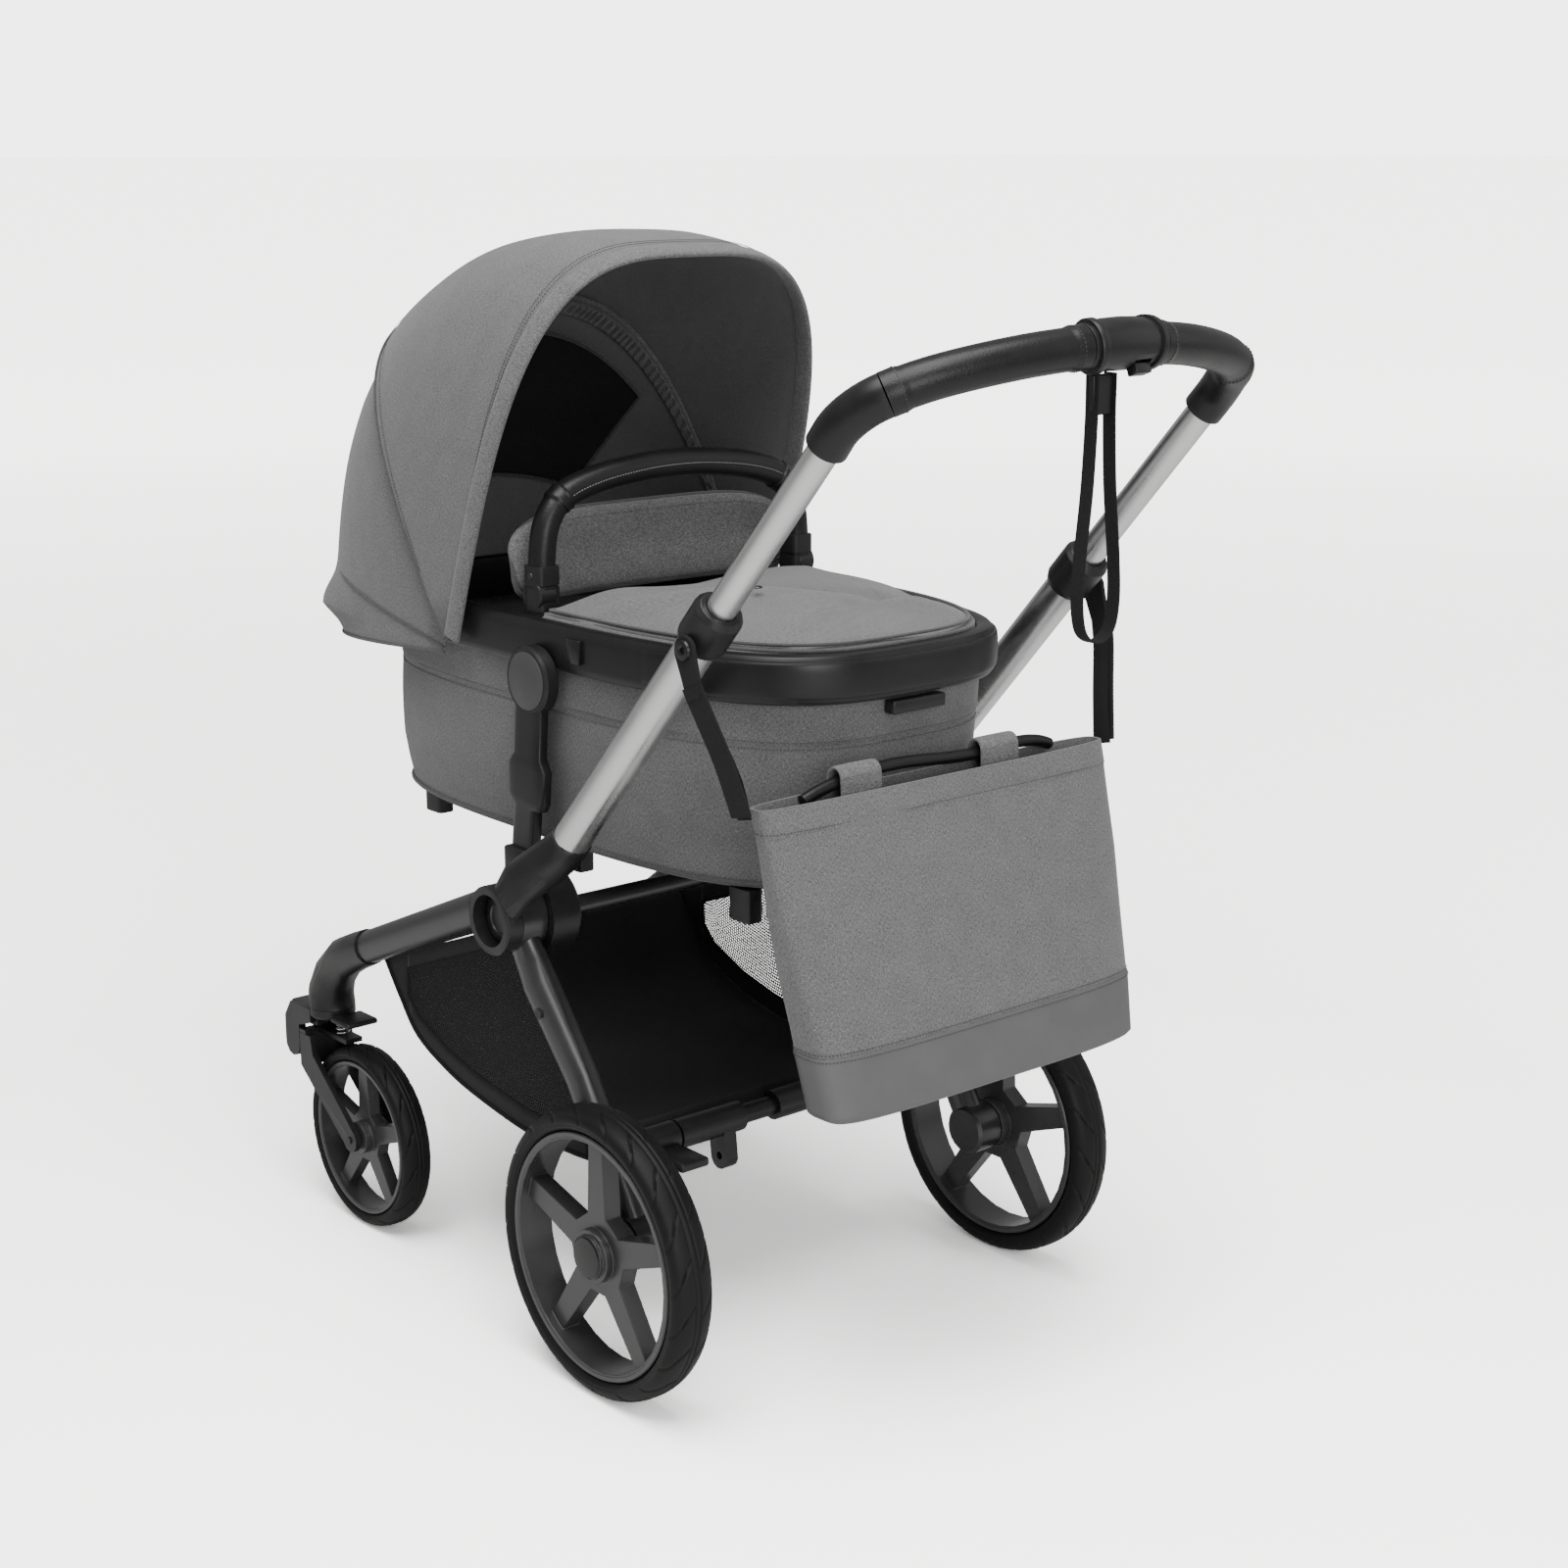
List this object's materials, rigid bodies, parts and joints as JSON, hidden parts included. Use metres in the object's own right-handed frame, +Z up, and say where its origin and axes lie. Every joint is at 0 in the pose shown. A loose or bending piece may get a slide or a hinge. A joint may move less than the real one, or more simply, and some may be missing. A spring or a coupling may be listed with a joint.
{
  "type": "baby stroller",
  "caption": "Baby stroller with a lie-flat carrycot, folding canopy, telescopic handle, swivelling front wheels, shopping basket and hanging tote bag.",
  "frame": {"origin": "centre of the whole stroller's box on the floor", "axes": "+Z up, small front wheels and canopy towards -Y, handlebar towards +Y, the stroller's left side +X"},
  "size_m": [0.6044, 1.1239, 1.1376],
  "materials": {
    "satin_aluminium": "satin anodised",
    "graphite_frame": "dark satin anodised",
    "black_plastic": "fine moulded grain",
    "rim_plastic": "satin",
    "tyre_rubber": "matte",
    "black_leatherette": "grained, stitched",
    "grey_fabric": "melange weave",
    "black_fabric": "plain weave and mesh",
    "mattress_cover": "soft knit",
    "spring_steel": "bright wire"
  },
  "bodies": {
    "chassis": {"frame_joint_left": "black_plastic", "frame_joint_right": "black_plastic", "front_tube_left": "graphite_frame", "front_tube_right": "graphite_frame", "front_elbow_left": "black_plastic", "front_elbow_right": "black_plastic", "riser_left": "black_plastic", "riser_right": "black_plastic", "rear_leg_left": "graphite_frame", "rear_leg_right": "graphite_frame", "cross_tube": "graphite_frame", "rear_cross_bar": "black_plastic", "basket": "black_fabric"},
    "push_frame": {"joint_ring_left": "black_plastic", "joint_ring_right": "black_plastic", "push_tube_left": "satin_aluminium", "push_tube_right": "satin_aluminium", "telescope_collar_left": "black_plastic", "telescope_collar_right": "black_plastic"},
    "handle": {"slide_tube_left": "satin_aluminium", "slide_tube_right": "satin_aluminium", "handle_elbow_left": "black_plastic", "handle_elbow_right": "black_plastic", "handle_grip_left": "black_leatherette", "handle_grip_right": "black_leatherette", "handle_housing": "black_plastic", "wrist_strap": "black_fabric"},
    "handle_button": {"handle_button": "black_plastic"},
    "brake_pedal": {"brake_pedal": "black_plastic"},
    "carrycot": {"carrycot_rail": "black_plastic", "carrycot_tub": "grey_fabric", "mattress": "mattress_cover", "apron": "grey_fabric", "wind_flap": "grey_fabric", "canopy_rear": "grey_fabric"},
    "canopy_front": {"canopy_front": "grey_fabric"},
    "carry_handle": {"carry_handle": "black_leatherette"},
    "carrycot_release": {"carrycot_release": "black_plastic"},
    "tote_straps": {"tote_strap_left": "black_fabric", "tote_strap_right": "black_fabric"},
    "tote": {"tote_bag": "grey_fabric"},
    "rail_button_left": {"rail_button_left": "black_plastic"},
    "rear_wheel_left": {"rear_wheel_left_rim": "rim_plastic", "rear_wheel_left_tyre": "tyre_rubber"},
    "caster_left": {"caster_head_left": "black_plastic"},
    "swivel_lock_left": {"swivel_lock_left": "black_plastic"},
    "fork_left": {"fork_left": "black_plastic", "suspension_spring_left": "spring_steel"},
    "front_wheel_left": {"front_wheel_left_rim": "rim_plastic", "front_wheel_left_tyre": "tyre_rubber"},
    "rail_button_right": {"rail_button_right": "black_plastic"},
    "rear_wheel_right": {"rear_wheel_right_rim": "rim_plastic", "rear_wheel_right_tyre": "tyre_rubber"},
    "caster_right": {"caster_head_right": "black_plastic"},
    "swivel_lock_right": {"swivel_lock_right": "black_plastic"},
    "fork_right": {"fork_right": "black_plastic", "suspension_spring_right": "spring_steel"},
    "front_wheel_right": {"front_wheel_right_rim": "rim_plastic", "front_wheel_right_tyre": "tyre_rubber"}
  },
  "joints": [
    {"name": "push_fold", "type": "hinge", "parent": "chassis", "child": "push_frame", "pos_m": [0, -0.0394, 0.456], "axis": [1, 0, 0], "range_deg": [0, 110], "deforming": ["wrist_strap"]},
    {"name": "handle_height", "type": "slide", "parent": "push_frame", "child": "handle", "axis": [0, 0.6704, 0.742], "range_m": [-0.12, 0.05]},
    {"name": "handle_button_press", "type": "slide", "parent": "handle", "child": "handle_button", "axis": [0, -0.349, 0.9371], "range_m": [0, 0.0025], "stiffness_N_per_m": 150, "springref_m": -0.002},
    {"name": "brake_press", "type": "hinge", "parent": "chassis", "child": "brake_pedal", "pos_m": [0, 0.0916, 0.228], "axis": [-1, 0, 0], "range_deg": [0, 20]},
    {"name": "carrycot_lift", "type": "slide", "parent": "chassis", "child": "carrycot", "axis": [0, 0, 1], "range_m": [0, 0.06]},
    {"name": "canopy_fold", "type": "hinge", "parent": "carrycot", "child": "canopy_front", "pos_m": [0, -0.2054, 0.7], "axis": [1, 0, 0], "range_deg": [0, 50]},
    {"name": "carry_handle_turn", "type": "hinge", "parent": "carrycot", "child": "carry_handle", "pos_m": [0, -0.0924, 0.774], "axis": [-1, 0, 0], "range_deg": [0, 55]},
    {"name": "carrycot_release_press", "type": "slide", "parent": "carrycot", "child": "carrycot_release", "axis": [0, 0, 1], "range_m": [0, 0.003], "stiffness_N_per_m": 150, "springref_m": -0.002},
    {"name": "tote_set_down", "type": "slide", "parent": "chassis", "child": "tote_straps", "axis": [0, 0, -1], "range_m": [0, 0.32]},
    {"name": "tote_swing", "type": "hinge", "parent": "tote_straps", "child": "tote", "pos_m": [0, 0.3196, 0.63], "axis": [1, 0, 0], "range_deg": [0, 20]},
    {"name": "rail_button_left_press", "type": "slide", "parent": "carrycot", "child": "rail_button_left", "axis": [-1, 0, 0], "range_m": [0, 0.002], "stiffness_N_per_m": 150, "springref_m": -0.002},
    {"name": "rear_wheel_left_spin", "type": "hinge", "parent": "chassis", "child": "rear_wheel_left", "pos_m": [0.2786, 0.1396, 0.151], "axis": [1, 0, 0], "continuous": true},
    {"name": "caster_left_swivel", "type": "hinge", "parent": "chassis", "child": "caster_left", "pos_m": [0.232, -0.4554, 0.2475], "axis": [0, 0, 1], "continuous": true},
    {"name": "swivel_lock_left_flip", "type": "hinge", "parent": "caster_left", "child": "swivel_lock_left", "pos_m": [0.232, -0.4254, 0.24], "axis": [1, 0, 0], "range_deg": [0, 10]},
    {"name": "suspension_left", "type": "hinge", "parent": "caster_left", "child": "fork_left", "pos_m": [0.232, -0.5034, 0.194], "axis": [1, 0, 0], "range_deg": [0, 4], "stiffness_Nm_per_rad": 40, "springref_deg": -11.46, "deforming": ["suspension_spring_left"]},
    {"name": "front_wheel_left_spin", "type": "hinge", "parent": "fork_left", "child": "front_wheel_left", "pos_m": [0.2322, -0.3804, 0.1073], "axis": [1, 0, 0], "continuous": true},
    {"name": "rail_button_right_press", "type": "slide", "parent": "carrycot", "child": "rail_button_right", "axis": [1, 0, 0], "range_m": [0, 0.002], "stiffness_N_per_m": 150, "springref_m": -0.002},
    {"name": "rear_wheel_right_spin", "type": "hinge", "parent": "chassis", "child": "rear_wheel_right", "pos_m": [-0.2786, 0.1396, 0.151], "axis": [1, 0, 0], "continuous": true},
    {"name": "caster_right_swivel", "type": "hinge", "parent": "chassis", "child": "caster_right", "pos_m": [-0.232, -0.4554, 0.2475], "axis": [0, 0, 1], "continuous": true},
    {"name": "swivel_lock_right_flip", "type": "hinge", "parent": "caster_right", "child": "swivel_lock_right", "pos_m": [-0.232, -0.4254, 0.24], "axis": [1, 0, 0], "range_deg": [0, 10]},
    {"name": "suspension_right", "type": "hinge", "parent": "caster_right", "child": "fork_right", "pos_m": [-0.232, -0.5034, 0.194], "axis": [1, 0, 0], "range_deg": [0, 4], "stiffness_Nm_per_rad": 40, "springref_deg": -11.46, "deforming": ["suspension_spring_right"]},
    {"name": "front_wheel_right_spin", "type": "hinge", "parent": "fork_right", "child": "front_wheel_right", "pos_m": [-0.2322, -0.3804, 0.1073], "axis": [1, 0, 0], "continuous": true}
  ],
  "couplings": [
    {"joint": "tote_set_down", "follows": "push_fold", "m_per_rad": 0.1666}
  ]
}
